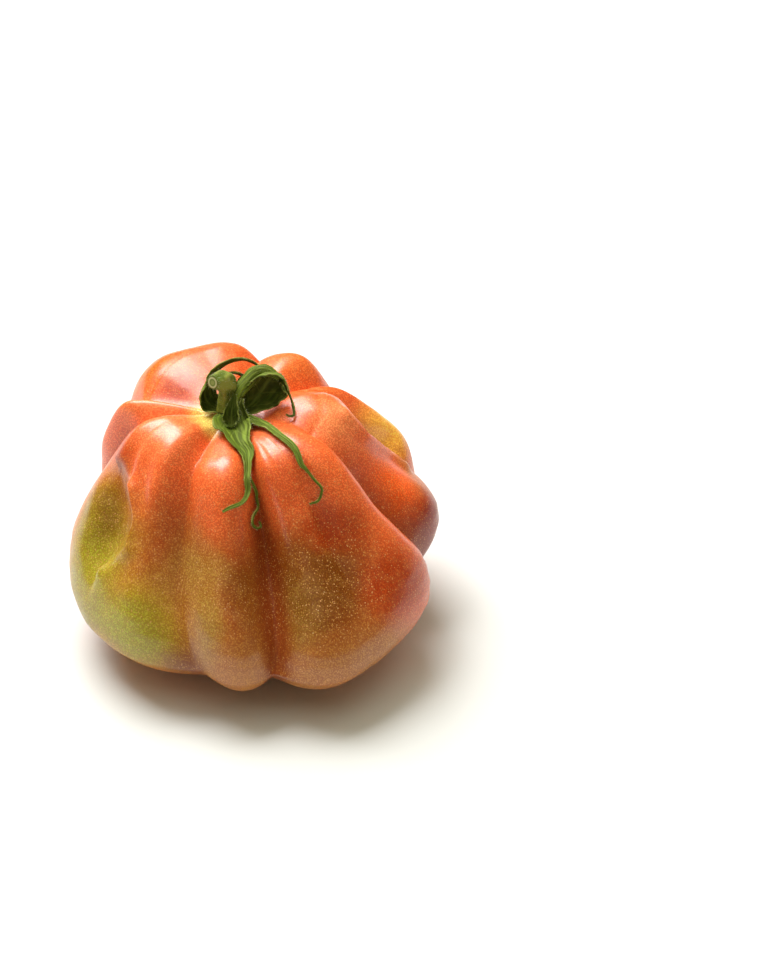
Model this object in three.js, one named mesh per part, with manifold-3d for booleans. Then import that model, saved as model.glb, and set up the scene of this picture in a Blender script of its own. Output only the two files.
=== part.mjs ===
// A pleated oxheart tomato, picked with its calyx and a short cut stalk.
// Millimetres, +Z up. The origin is the middle of the small flat spot that the fruit rests on, +Z runs
// up to the eye that the stalk grows from, and the front of the fruit, with its deepest fold, faces -Y.
import * as THREE from "three";
import { mergeVertices } from "three/addons/utils/BufferGeometryUtils.js";
import Module from "manifold-3d";

const { clamp, smoothstep, lerp: mix, degToRad: radians, euclideanModulo: wrap } = THREE.MathUtils;
const FULL_TURN = 360;

// Driving dimensions of the fruit.
const EYE = new THREE.Vector3(-4, 4, 64); // the middle of the hollow that the calyx sits in
const EYE_RADIUS = 7; // the nearly level skin under the calyx
const SPOT_RADIUS = 15; // the flat spot at the blossom end

// Each lobe is the bulge between two folds, listed anticlockwise from above.
// crest is how far out and how high its shoulder comes, flank and belly the same halfway down and at its
// widest place, and under how full it is below the belly.
const LOBES = {
  right: { crest: [21, 70], flank: [41, 50], belly: [56, 27], under: 1.4 },
  right_back: { crest: [23, 64], flank: [47.5, 49], belly: [55, 28], under: 1.4 },
  back_right: { crest: [30, 69], flank: [41, 57], belly: [48, 30], under: 1.4 },
  back: { crest: [30, 70.5], flank: [43, 58], belly: [50, 30], under: 1.4 },
  back_left: { crest: [30, 70], flank: [48, 57], belly: [52, 30], under: 1.4 },
  left_back: { crest: [31, 68.5], flank: [46, 54], belly: [51, 27], under: 1.4 },
  left: { crest: [22.5, 67.5], flank: [43, 51], belly: [54.5, 17], under: 1.6 },
  front_left: { crest: [19.5, 67.3], flank: [39, 47], belly: [54, 15], under: 1.5 },
  front_narrow: { crest: [17, 64], flank: [35, 45], belly: [54, 14], under: 1.4 },
  front: { crest: [15, 65], flank: [34, 46], belly: [58.5, 14], under: 1.4 },
  front_right: { crest: [17, 67], flank: [40, 47], belly: [54, 17], under: 1.4 },
};

// Each fold lies before the lobe of the same row. angle is its bearing at the crest, the flank, the belly
// and the foot, depth how far it sinks in the hollow, at the crest, on the flank, at the belly and
// underneath. Its two walls, clockwise side first, open out the faster the lower their opening number is.
// floor is how round it is at the bottom at the crest, the flank, the belly and the foot, from 1, a crease.
const FOLDS = [
  { angle: [-21, -15, -8, -8], depth: [1, 5, 9, 9, 6], open: [9, 2.2], floor: [1.4, 1.4, 1.3, 1.2] },
  { angle: [44, 28, 24, 18], depth: [1, 4, 7, 6, 4], open: [4, 4], floor: [1.4, 1.5, 1.5, 1.4] },
  { angle: [50, 47, 45, 44], depth: [3, 7, 9, 7, 4], open: [3, 3.4], floor: [1, 1, 1, 1] },
  { angle: [85, 85, 86, 86], depth: [4, 6, 8, 7, 4], open: [3, 3], floor: [1, 1.2, 1.2, 1] },
  { angle: [116, 117, 118, 118], depth: [0, 0.5, 3, 5, 4], open: [2.6, 2.6], floor: [1.5, 1.5, 1.2, 1] },
  { angle: [157, 152, 144, 140], depth: [4, 8, 9, 8, 5], open: [3.6, 3.4], floor: [1.4, 1.3, 1.2, 1] },
  { angle: [174, 169, 160, 156], depth: [3, 7, 8, 6, 4], open: [3, 3.6], floor: [1.2, 1.2, 1.2, 1] },
  { angle: [196, 206, 211, 210], depth: [0, 0, 3.4, 1, 0.5], open: [2.6, 5], floor: [2, 2, 2, 2] },
  { angle: [230, 237, 253, 260], depth: [3, 5, 6, 6, 3.5], open: [6, 8], floor: [1.5, 1.7, 1.6, 1.4] },
  { angle: [276, 280, 278, 275], depth: [4, 6, 10, 9, 4.5], open: [13, 9], floor: [1.4, 1.9, 1.6, 1.4] },
  { angle: [302, 308, 308, 308], depth: [0, 0.5, 4.5, 0.5, 4], open: [6, 3], floor: [2, 1.3, 2, 1.4] },
];

// Two shallow dents on the flanks, each with its middle on the skin, how wide it is from there and its depth.
const DENTS = [
  { middle: [-38, -16, 46], reach: 14, depth: 3 },
  { middle: [34, 17, 50], reach: 9, depth: 2 },
];

// Places down the skin, and how finely it is divided: across each lobe, and down each stretch of it.
const PLACE = { eye: 0, crest: 1, flank: 1.5, belly: 2, spot: 3 };
const ACROSS = 8;
const DOWN = { hollow: 6, flank: 14, under: 8 };

// How strongly the skin's profile runs on level or upright past each place. It leaves the eye the steeper,
// by rise, the more the crest stands over the level where the hollow's wall begins.
const RUN = { eye: 9, rise: 1, crest: 14, shoulder: 1.6, flank: 0.5, belly: 1.5, spot: 1.2 };
const WALL_FROM = 66;
const BLEND_FROM = 0.1; // a lobe keeps its own size this far each side of its middle, of half its width
const LEAST_REACH = 0.5; // a fold never crosses the middle of the fruit

// Driving dimensions of the green top. It stands a hair clear of what it grows on.
const GAP = 0.3;
const CALYX_MIDDLE = [-5.5, 4]; // where the sepals meet, seen from above
const RECEPTACLE = { radius: 4.2, rim: 1, shoulder: 3, height: 2, sides: 20 };
const BLADE = 0.7; // thickness of a sepal
const BLADE_SPANS = 4; // flat spans across a sepal
const BLADE_RINGS = 3; // rings from one rib point to the next
const LEAST_CURL = 5; // degrees

// A rib point over the skin, by its bearing, its place down the skin and its height over it.
const onSkin = (bearing, place, over) => ({ bearing, place, over });

// Each sepal is a thin blade swept along its rib. half is half the blade's width at each rib point, and curl
// the degrees that each side bends up there, to the side that face looks to. The last face holds for the
// rest of the rib, but on the skin the blade faces as the skin does.
const SEPALS = {
  front: {
    rib: [
      [-6.2, 2.6, 65.5], [-6.2, 0, 65.4], [-4.4, -4.4, 65], [-3.2, -9, 64.4], [-1, -12.2, 63.3],
      [-0.7, -15.5, 62.3], [-0.6, -17.9, 61], [-0.7, -20.4, 59.8], [-0.5, -22.3, 57.2],
      [-2, -25.2, 55.7], [-5.2, -27.7, 55.8], [-7.1, -28.3, 54.9],
    ],
    half: [2.5, 5.2, 5, 3.6, 2.5, 1.4, 1, 0.9, 0.75, 0.6, 0.5, 0.4],
    curl: [10, 25, 45, 60, 60, 60, 40, 30, 20, 10, 10, 10],
    face: [[0, 0, 1], [0, -0.1, 1], [0, -0.3, 1], [0.1, -0.4, 1], [0, -0.6, 0.8], [0, -0.7, 0.7]],
  },
  front_tendril: {
    rib: [
      [-0.5, -18.8, 60.6], onSkin(276, 1.22, 1.2), onSkin(278, 1.28, 1), onSkin(276, 1.32, 1.1),
      onSkin(272, 1.35, 1.1), onSkin(271.5, 1.385, 1.1), onSkin(273.5, 1.405, 1.4), onSkin(276, 1.4, 1.5),
      onSkin(275.5, 1.38, 1.2),
    ],
    half: [0.4, 0.4, 0.35, 0.35, 0.35, 0.35, 0.35, 0.35, 0.35],
    curl: [10],
    face: [[0, -0.5, 0.9]],
  },
  right: {
    rib: [
      [-3.6, 2, 65.4], [-1, 0.6, 65.5], [1.5, -1.6, 65.6], [3.5, -3.5, 66], [5.4, -6.4, 66.8],
      [7.6, -9.8, 67.1], onSkin(311, 1.05, 1.2), onSkin(310.5, 1.1, 1.2), onSkin(309.5, 1.15, 1.2),
      onSkin(311, 1.19, 1), onSkin(312.5, 1.24, 1), onSkin(314, 1.28, 1), onSkin(313, 1.31, 1),
      onSkin(311, 1.335, 1), onSkin(308, 1.34, 1), onSkin(306, 1.34, 1),
    ],
    half: [1.2, 1.4, 1.6, 1.4, 1.2, 1.1, 1, 0.9, 0.7, 0.45, 0.35, 0.35, 0.35, 0.35, 0.35, 0.35],
    curl: [20, 30, 35, 40, 40, 40, 30, 20, 10, 10, 10, 10, 10, 10, 10, 10],
    face: [[0, 0, 1], [0, -0.2, 1], [0.2, -0.3, 1], [0.2, -0.4, 1], [0.2, -0.4, 1], [0.2, -0.5, 1]],
  },
  hood: {
    rib: [
      [-4.2, 4.2, 65.4], [-0.9, 5.2, 66.6], [2, 7, 69], [4.2, 8, 71.4], [6.2, 7.6, 74],
      [7.9, 6.2, 75.2], [9.2, 4.8, 74.2], [10, 3.9, 71.8], [10.8, 3.2, 69.5], [11.3, 1.4, 68.2],
      [11.4, -0.4, 67.3], [10.2, -0.8, 67.2], [9.3, -0.2, 67.4],
    ],
    half: [1.5, 3.8, 6.4, 7.4, 6.4, 3.4, 1.6, 0.9, 0.55, 0.4, 0.35, 0.35, 0.35],
    curl: [20, 50, 65, 70, 70, 60, 30, 20, 10, 10, 10, 10, 10],
    face: [
      [0, 0, 1], [0.1, -0.6, 0.8], [0.2, -0.9, 0.3], [0.2, -0.9, 0], [0, -0.9, -0.3], [-0.3, -0.8, -0.5],
      [-0.7, -0.5, -0.3], [-0.9, -0.3, 0], [-0.9, -0.3, 0], [-0.6, -0.6, 0.6], [0, -0.6, 0.8],
    ],
  },
  left_back: {
    rib: [
      [-6, 5, 65.4], [-9.6, 6.2, 65], [-12.4, 7, 66.2], [-13.3, 8, 68.8], [-12, 9, 72.2], [-10.8, 9.2, 74.8],
      [-8.8, 9.6, 76.8], [-5.8, 10.4, 78], [-2.6, 11.2, 78], [0.2, 11.6, 76.6], [2.4, 11.2, 75],
    ],
    half: [1.6, 3.2, 4.2, 4, 2.6, 1.6, 1.2, 1.1, 0.9, 0.6, 0.4],
    curl: [20, 50, 75, 75, 60, 30, 20, 20, 20, 10, 10],
    face: [
      [0, 0, 1], [0.2, -0.3, 1], [0.6, -0.8, 0.5], [0.7, -0.8, 0], [0.6, -0.8, -0.3], [0.3, -0.8, -0.4],
      [0.1, -0.8, -0.5], [0, -0.8, -0.5], [-0.3, -0.8, -0.5], [-0.4, -0.8, -0.5],
    ],
  },
  back: {
    rib: [
      [-4.6, 6, 65.4], [-3.9, 8.2, 67.6], [-3.6, 9, 70.4], [-2.8, 9.6, 73], [-0.4, 10.6, 74.2],
      [2.8, 12.2, 73], [5.6, 14.4, 70.2], [7.4, 16.8, 69.2],
    ],
    half: [1.4, 1.6, 1.2, 1.2, 1.1, 1, 0.8, 0.4],
    curl: [20, 30, 30, 30, 20, 20, 20, 10],
    face: [[0, 0, 1], [0, -0.9, 0.4], [0, -1, 0], [0.3, -0.8, -0.5], [0, -0.5, -0.9], [-0.3, -0.4, -0.8]],
  },
  back_fold: {
    rib: [[-2.6, 9.8, 73.4], [-3.8, 9.6, 74.4], [-5.4, 9.4, 74.8], [-7.2, 9.2, 74.6]],
    half: [0.7, 1, 1, 0.5],
    curl: [20],
    face: [[0, -0.6, -0.7]],
  },
  centre: {
    rib: [
      [-5.3, -4.3, 66.1], [-5.5, -2.6, 65.5], [-5.6, -1.1, 66.8], [-5.4, -0.4, 68.8], [-5, 0.4, 70.8],
      [-4.5, 1.6, 72.8],
    ],
    half: [1.2, 2.6, 3.3, 2.9, 1.4, 0.4],
    curl: [40, 80, 85, 80, 50, 10],
    face: [[0, -0.6, 0.8], [0, -0.6, 0.8], [0, -0.8, 0.6], [0, -0.9, 0.3], [0, -0.9, 0.2]],
  },
  centre_curl: {
    rib: [[0.2, -3, 65.6], [-1, -1.6, 66.4], [-2, -0.4, 68.2], [-2.7, 0.4, 70.2], [-2.4, 1.2, 71.6]],
    half: [0.6, 0.8, 0.8, 0.7, 0.4],
    curl: [20, 50, 60, 50, 20],
    face: [[-0.4, -0.7, 0.5]],
  },
};

// The stalk: the points of its middle line from the foot to the cut end, and its radius at each.
const STALK = {
  line: [
    [-7.4, 4.4, 66.3], [-7.2, 4.8, 69], [-6.8, 5.2, 71.6], [-6.8, 4.8, 74], [-7.8, 3.4, 75.9],
    [-9.2, 1.6, 76.9], [-10.3, 0.2, 77.4],
  ],
  radius: [2.6, 2.3, 2.3, 2.8, 2.9, 2.4, 1.9],
  sides: 16,
  rings: 16,
};

const FINISHES = {
  skin: { color: 0xc8502a, roughness: 0.3, metalness: 0 },
  leaf: { color: 0x55702c, roughness: 0.7, metalness: 0 },
  stem: { color: 0x6c8238, roughness: 0.7, metalness: 0 },
};

// A curve through values at 0, 1, 2 and so on, flat past its two ends.
function through(values, place) {
  const last = values.length - 1;
  if (last === 0) return values[0];
  const at = (i) => values[clamp(i, 0, last)];
  const i = Math.min(Math.floor(clamp(place, 0, last)), last - 1);
  const f = place - i;
  const [a, b, c, d] = [at(i - 1), at(i), at(i + 1), at(i + 2)];
  return b + 0.5 * f * (c - a + f * (2 * a - 5 * b + 4 * c - d + f * (3 * (b - c) + d - a)));
}

// The same through points in space.
const throughPoints = (points, place) =>
  new THREE.Vector3(...["x", "y", "z"].map((k) => through(points.map((p) => p[k]), place)));

// The way a curve through points runs at a place.
function headingAt(points, place) {
  const near = 0.1;
  const ahead = throughPoints(points, Math.min(place + near, points.length - 1));
  return ahead.sub(throughPoints(points, Math.max(place - near, 0))).normalize();
}

// A point of a curve from a to b that leaves along from and arrives along to.
function hermite(a, from, b, to, f) {
  const h1 = 2 * f ** 3 - 3 * f ** 2 + 1;
  const h2 = f ** 3 - 2 * f ** 2 + f;
  const h3 = -2 * f ** 3 + 3 * f ** 2;
  const h4 = f ** 3 - f ** 2;
  return [0, 1].map((k) => h1 * a[k] + h2 * from[k] + h3 * b[k] + h4 * to[k]);
}

const lobes = Object.values(LOBES);
const count = lobes.length;

// One number of a lobe, blended into its neighbour's at the fold between them.
function blended(read, lobe, across) {
  const other = (lobe + (across > 0.5 ? 1 : count - 1)) % count;
  const share = 0.5 * smoothstep(Math.abs(across - 0.5), BLEND_FROM, 0.5);
  return mix(read(lobes[lobe]), read(lobes[other]), share);
}

// Reach and height of the skin before it is folded, at a place down it.
function profile(lobe, across, place) {
  const [crest, flank, belly] = ["crest", "flank", "belly"].map((key) =>
    [0, 1].map((k) => blended((l) => l[key][k], lobe, across))
  );
  const under = blended((l) => l.under, lobe, across);
  const eye = [EYE_RADIUS, EYE.z];
  const spot = [SPOT_RADIUS, 0];
  const slope = [0, 1].map((k) => RUN.flank * (belly[k] - crest[k]));
  const shoulder = [RUN.shoulder * (flank[0] - crest[0]), 0];
  const side = [0, RUN.belly * (belly[1] - flank[1])];
  const leaving = [RUN.eye, RUN.rise * Math.max(0, crest[1] - WALL_FROM)];
  if (place <= PLACE.crest) return hermite(eye, leaving, crest, [RUN.crest, 0], place);
  if (place <= PLACE.flank) return hermite(crest, shoulder, flank, slope, 2 * (place - PLACE.crest));
  if (place <= PLACE.belly) return hermite(flank, slope, belly, side, 2 * (place - PLACE.flank));
  const last = [RUN.spot * (spot[0] - belly[0]), 0];
  return hermite(belly, [0, -under * belly[1]], spot, last, place - PLACE.belly);
}

function foldDepth(fold, place) {
  return Math.max(0, through([0, ...FOLDS[fold].depth, 0], place * 2));
}

// Stages 0, 1, 2 and 3 are the crest, the flank, the belly and the foot.
const stageAt = (place) => (place < PLACE.belly ? clamp(2 * (place - PLACE.crest), 0, 2) : place);
const foldAngle = (fold, place) => through(FOLDS[fold].angle, stageAt(place));

// How deep a fold still is on one of its walls, some share of a lobe away from it.
function wallDepth(fold, side, away, place) {
  const floor = through(FOLDS[fold].floor, stageAt(place));
  return foldDepth(fold, place) * (1 - away ** floor) ** FOLDS[fold].open[side];
}

// A point of the skin: lobe number, how far across it from fold to fold, and place down it. A fold sinks
// square to the profile, and the middle of the rings moves over from the eye to the origin by the belly.
function skinPoint(lobe, across, place) {
  const next = (lobe + 1) % count;
  const turn = next === 0 ? FULL_TURN : 0;
  const angle = radians(mix(foldAngle(lobe, place), foldAngle(next, place) + turn, across));
  const near = 0.02;
  const [reach, height] = profile(lobe, across, place);
  const [r1, z1] = profile(lobe, across, Math.max(PLACE.eye, place - near));
  const [r2, z2] = profile(lobe, across, Math.min(PLACE.spot, place + near));
  const length = Math.hypot(r2 - r1, z2 - z1);
  const aside = 1 - smoothstep(place, PLACE.eye, PLACE.belly);
  const sunk = (depth) => {
    const r = Math.max(LEAST_REACH, reach + (depth * (z2 - z1)) / length);
    const z = Math.max(0, height - (depth * (r2 - r1)) / length);
    return new THREE.Vector3(r * Math.cos(angle) + EYE.x * aside, r * Math.sin(angle) + EYE.y * aside, z);
  };
  const folded = wallDepth(lobe, 1, across, place) + wallDepth(next, 0, 1 - across, place);
  const point = sunk(folded);
  let dented = 0;
  for (const { middle, reach: size, depth } of DENTS) {
    const share = Math.min(1, point.distanceTo(new THREE.Vector3(...middle)) / size);
    dented += depth * (1 - share ** 2) ** 2;
  }
  return dented > 0 ? sunk(folded + dented) : point;
}

// The whole fruit as one closed skin, with its columns drawn together at the folds.
function fruitGeometry() {
  const places = [];
  for (let i = 0; i < DOWN.hollow; i += 1) places.push(PLACE.eye + i / DOWN.hollow);
  for (let i = 0; i < DOWN.flank; i += 1) places.push(PLACE.crest + i / DOWN.flank);
  for (let i = 0; i <= DOWN.under; i += 1) places.push(PLACE.belly + i / DOWN.under);
  const columns = [];
  for (let lobe = 0; lobe < count; lobe += 1)
    for (let i = 0; i < ACROSS; i += 1) columns.push([lobe, 0.5 - 0.5 * Math.cos((Math.PI * i) / ACROSS)]);
  const points = [];
  for (const place of places)
    for (const [lobe, across] of columns) points.push(skinPoint(lobe, across, place));
  const top = points.push(EYE.clone()) - 1;
  const bottom = points.push(new THREE.Vector3(0, 0, 0)) - 1;
  const n = columns.length;
  const foot = (places.length - 1) * n;
  const faces = [];
  for (let c = 0; c < n; c += 1) {
    const d = (c + 1) % n;
    faces.push(top, c, d);
    for (let row = 0; row < foot; row += n) {
      const [a, b] = [row + c, row + d];
      faces.push(a, a + n, b, b, a + n, b + n);
    }
    faces.push(bottom, foot + d, foot + c);
  }
  return new THREE.BufferGeometry().setFromPoints(points).setIndex(faces);
}

// The skin point at a bearing and a place.
function skinUnder(bearing, place) {
  const first = foldAngle(0, place);
  const turned = first + wrap(bearing - first, FULL_TURN);
  for (let lobe = 0; lobe < count; lobe += 1) {
    const start = foldAngle(lobe, place);
    const end = lobe === count - 1 ? first + FULL_TURN : foldAngle(lobe + 1, place);
    if (turned >= start && turned <= end) return skinPoint(lobe, (turned - start) / (end - start), place);
  }
  throw new Error(`no skin at bearing ${bearing}`);
}

// A point over the skin, with the way the skin faces there. The facing is taken over a few degrees round,
// so that a narrow fold counts as level.
function overSkin({ bearing, place, over }) {
  const round = 4;
  const near = 0.05;
  const along = skinUnder(bearing + round, place).sub(skinUnder(bearing - round, place));
  const down = skinUnder(bearing, place + near).sub(skinUnder(bearing, place - near));
  const normal = down.cross(along).normalize();
  return { point: skinUnder(bearing, place).addScaledVector(normal, over), normal };
}

// A closed body from a list of rings with the same number of points each, closed flat at both ends.
function ringBody(rings) {
  const n = rings[0].length;
  const faces = [];
  const last = (rings.length - 1) * n;
  for (let ring = 0; ring < last; ring += n)
    for (let i = 0; i < n; i += 1) {
      const [a, b] = [ring + i, ring + ((i + 1) % n)];
      faces.push(a, b, a + n, b, b + n, a + n);
    }
  for (let i = 1; i < n / 2; i += 1) {
    const [a, b, c, d] = [i - 1, i, n - 1 - i, n - i];
    faces.push(a, d, b, b, d, c);
    faces.push(last + a, last + b, last + d, last + b, last + c, last + d);
  }
  return new THREE.BufferGeometry().setFromPoints(rings.flat()).setIndex(faces);
}

// One sepal: its section is an arc of even thickness, bent up to both sides of the rib.
function sepalGeometry({ rib, half, curl, face }) {
  const stations = rib.map((station, i) => {
    if (!Array.isArray(station)) return overSkin(station);
    const normal = new THREE.Vector3(...face[Math.min(i, face.length - 1)]).normalize();
    return { point: new THREE.Vector3(...station), normal };
  });
  const points = stations.map((station) => station.point);
  const normals = stations.map((station) => station.normal);
  const rings = [];
  for (let ring = 0; ring <= (rib.length - 1) * BLADE_RINGS; ring += 1) {
    const place = ring / BLADE_RINGS;
    const middle = throughPoints(points, place);
    const ahead = headingAt(points, place);
    const up = throughPoints(normals, place);
    up.addScaledVector(ahead, -up.dot(ahead)).normalize();
    const side = ahead.cross(up);
    const bend = radians(Math.max(LEAST_CURL, through(curl, place)));
    const radius = through(half, place) / bend;
    const inner = [];
    const outer = [];
    for (let i = 0; i <= BLADE_SPANS; i += 1) {
      const turn = bend * ((2 * i) / BLADE_SPANS - 1);
      const spot = middle.clone().addScaledVector(side, radius * Math.sin(turn));
      spot.addScaledVector(up, radius * (1 - Math.cos(turn)));
      const facing = up.clone().multiplyScalar(Math.cos(turn)).addScaledVector(side, -Math.sin(turn));
      inner.push(spot.clone().addScaledVector(facing, BLADE / 2));
      outer.unshift(spot.clone().addScaledVector(facing, -BLADE / 2));
    }
    rings.push([...inner, ...outer]);
  }
  return ringBody(rings);
}

// The low green knob that the sepals grow from.
function receptacleGeometry() {
  const { radius, rim, shoulder, height, sides } = RECEPTACLE;
  const outline = [[0, 0], [radius, 0], [radius, rim], [shoulder, height], [0, height]];
  const geometry = new THREE.LatheGeometry(outline.map(([x, y]) => new THREE.Vector2(x, y)), sides);
  return geometry.rotateX(Math.PI / 2).translate(...CALYX_MIDDLE, EYE.z + GAP);
}

const wasm = await Module();
wasm.setup();

function solid(geometry) {
  const bare = geometry.clone();
  bare.deleteAttribute("normal");
  bare.deleteAttribute("uv");
  const merged = mergeVertices(bare);
  return new wasm.Manifold(
    new wasm.Mesh({
      numProp: 3,
      vertProperties: new Float32Array(merged.getAttribute("position").array),
      triVerts: new Uint32Array(merged.getIndex().array),
    })
  );
}

// The sepals and the knob joined in one body.
function calyxGeometry() {
  let whole = solid(receptacleGeometry());
  for (const sepal of Object.values(SEPALS)) whole = whole.add(solid(sepalGeometry(sepal)));
  const { vertProperties, triVerts } = whole.getMesh();
  const geometry = new THREE.BufferGeometry();
  geometry.setAttribute("position", new THREE.BufferAttribute(vertProperties, 3));
  return geometry.setIndex(new THREE.BufferAttribute(triVerts, 1));
}

// The stalk: round rings along its middle line, the first one level on the knob.
function stalkGeometry() {
  const points = STALK.line.map((point) => new THREE.Vector3(...point));
  const body = [];
  for (let ring = 0; ring <= STALK.rings; ring += 1) {
    const place = ((points.length - 1) * ring) / STALK.rings;
    const ahead = ring === 0 ? new THREE.Vector3(0, 0, 1) : headingAt(points, place);
    const side = new THREE.Vector3(1, 0, 0);
    side.addScaledVector(ahead, -side.dot(ahead)).normalize();
    const other = ahead.cross(side);
    const middle = throughPoints(points, place);
    const size = through(STALK.radius, place);
    const round = [];
    for (let i = 0; i < STALK.sides; i += 1) {
      const turn = (2 * Math.PI * i) / STALK.sides;
      const point = middle.clone().addScaledVector(side, size * Math.cos(turn));
      round.push(point.addScaledVector(other, size * Math.sin(turn)));
    }
    body.push(round);
  }
  return ringBody(body);
}

const tomato = new THREE.Group();
for (const [name, geometry, finish] of [
  ["fruit", fruitGeometry(), FINISHES.skin],
  ["calyx", calyxGeometry(), FINISHES.leaf],
  ["stalk", stalkGeometry(), FINISHES.stem],
]) {
  geometry.computeVertexNormals();
  const piece = new THREE.Mesh(geometry, new THREE.MeshStandardMaterial(finish));
  piece.name = name;
  tomato.add(piece);
}

export default tomato;
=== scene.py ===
import functools
import math
import random

import bpy
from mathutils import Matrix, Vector, noise


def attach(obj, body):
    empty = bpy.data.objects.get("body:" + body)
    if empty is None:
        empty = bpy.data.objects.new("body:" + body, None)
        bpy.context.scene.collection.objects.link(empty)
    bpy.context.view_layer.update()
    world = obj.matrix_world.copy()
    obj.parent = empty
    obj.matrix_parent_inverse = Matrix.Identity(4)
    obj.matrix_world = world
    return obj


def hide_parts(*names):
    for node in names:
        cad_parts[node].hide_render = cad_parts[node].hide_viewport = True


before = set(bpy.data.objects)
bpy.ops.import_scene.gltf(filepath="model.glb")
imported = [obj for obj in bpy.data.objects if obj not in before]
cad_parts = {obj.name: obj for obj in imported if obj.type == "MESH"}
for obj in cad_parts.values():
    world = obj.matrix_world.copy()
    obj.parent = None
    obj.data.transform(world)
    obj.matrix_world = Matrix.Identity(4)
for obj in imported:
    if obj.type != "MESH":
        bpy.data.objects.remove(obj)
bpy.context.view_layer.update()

MM = 0.001

# The camera: it stands on a tripod in front of the fruit and looks down on it at 35 degrees. Its lens is a
# long one, set at a point to the right of the fruit, so the fruit stands left of the middle.
LOOKED_AT = Vector((37.5, 10, 36)) * MM
LOOKING_DOWN = math.radians(35)
STANDS_OFF = 800 * MM
LENS = 105.2
away = Vector((0, -math.cos(LOOKING_DOWN), math.sin(LOOKING_DOWN)))
bpy.ops.object.camera_add(
    location=LOOKED_AT + away * STANDS_OFF, rotation=(math.pi / 2 - LOOKING_DOWN, 0, 0)
)
camera = bpy.context.object
camera.name = "camera"
camera.data.lens = LENS
camera.data.clip_start = 10 * MM
bpy.context.scene.camera = camera

# The fruit: one taut waxy skin over soft flesh, pleated into lobes that run from the eye at the top to the
# blossom end underneath. A ball is drawn out to the measured lobes and folds, then dented.
EYE = Vector((-4, 4, 64))
EYE_RADIUS = 7
SHOULDER = 66
SPOT_RADIUS = 15
# For each lobe, reach and height of its crest, of its flank and of its belly, and how full it is below.
LOBES = [
    (21, 70, 41, 50, 56, 27, 1.4),  # right
    (23, 64, 47.5, 49, 55, 28, 1.4),  # right_back
    (30, 69, 41, 57, 48, 30, 1.4),  # back_right
    (30, 70.5, 43, 58, 50, 30, 1.4),  # back
    (30, 70, 48, 57, 52, 30, 1.4),  # back_left
    (31, 68.5, 46, 54, 51, 27, 1.4),  # left_back
    (22.5, 67.5, 43, 51, 54.5, 17, 1.6),  # left
    (19.5, 67.3, 39, 47, 54, 15, 1.5),  # front_left
    (17, 64, 35, 45, 54, 14, 1.4),  # front_narrow
    (15, 65, 34, 46, 58.5, 14, 1.4),  # front
    (17, 67, 40, 47, 54, 17, 1.4),  # front_right
]
# For the fold before each lobe: its bearing at the crest, flank, belly and foot; its depth in the hollow,
# at the crest, on the flank, at the belly and underneath; how fast its two walls open out, clockwise side
# first; and how round its floor is at the crest, flank, belly and foot, from 1, a crease, to 2.
FOLDS = [
    ((-21, -15, -8, -8), (1, 5, 9, 9, 6), (9.0, 2.2), (1.4, 1.4, 1.3, 1.2)),
    ((44, 28, 24, 18), (1, 4, 7, 6, 4), (4.0, 4.0), (1.4, 1.5, 1.5, 1.4)),
    ((50, 47, 45, 44), (3, 7, 9, 7, 4), (3.0, 3.4), (1, 1, 1, 1)),
    ((85, 85, 86, 86), (4, 6, 8, 7, 4), (3.0, 3.0), (1, 1.2, 1.2, 1)),
    ((116, 117, 118, 118), (0, 0.5, 3, 5, 4), (2.6, 2.6), (1.5, 1.5, 1.2, 1)),
    ((157, 152, 144, 140), (4, 8, 9, 8, 5), (3.6, 3.4), (1.4, 1.3, 1.2, 1)),
    ((174, 169, 160, 156), (3, 7, 8, 6, 4), (3.0, 3.6), (1.2, 1.2, 1.2, 1)),
    ((196, 206, 211, 210), (0, 0, 3.4, 1, 0.5), (2.6, 5.0), (2, 2, 2, 2)),
    ((230, 237, 253, 260), (3, 5, 6, 6, 3.5), (6.0, 8.0), (1.5, 1.7, 1.6, 1.4)),
    ((276, 280, 278, 275), (4, 6, 10, 9, 4.5), (13.0, 9.0), (1.4, 1.9, 1.6, 1.4)),
    ((302, 308, 308, 308), (0, 0.5, 4.5, 0.5, 4), (6.0, 3.0), (2, 1.3, 2, 1.4)),
]
# Places down the skin, from the eye over the crest, the flank and the belly to the spot.
CREST, FLANK, BELLY, SPOT = 1, 1.5, 2, 3
RINGS_TO_CREST, RINGS_TO_BELLY, RINGS_TO_SPOT = 24, 60, 32
COLUMNS_A_LOBE = 32


def smooth(value, low, high):
    share = min(max((value - low) / (high - low), 0), 1)
    return share * share * (3 - 2 * share)


def through(values, place):
    """A curve through numbers or points at 0, 1, 2 and so on, flat past its two ends."""
    last = len(values) - 1
    if last == 0:
        return values[0]
    i = min(int(min(max(place, 0), last)), last - 1)
    f = place - i
    a, b, c, d = [values[min(max(i + k, 0), last)] for k in (-1, 0, 1, 2)]
    return b + (c - a + (2 * a - 5 * b + 4 * c - d + (3 * (b - c) + d - a) * f) * f) * (0.5 * f)


def bend(start, leaving, end, arriving, f):
    """A point of a curve from start to end, by the ways it leaves and arrives."""
    weights = (2 * f**3 - 3 * f**2 + 1, f**3 - 2 * f**2 + f, 3 * f**2 - 2 * f**3, f**3 - f**2)
    return [sum(w * p[k] for w, p in zip(weights, (start, leaving, end, arriving))) for k in (0, 1)]


@functools.lru_cache(None)
def lobe_size(lobe, across):
    """A lobe's sizes, blended into its neighbour's at the fold between them."""
    other = (lobe + (1 if across > 0.5 else -1)) % len(LOBES)
    share = 0.5 * smooth(abs(across - 0.5), 0.1, 0.5)
    return [own + (next_one - own) * share for own, next_one in zip(LOBES[lobe], LOBES[other])]


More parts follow.
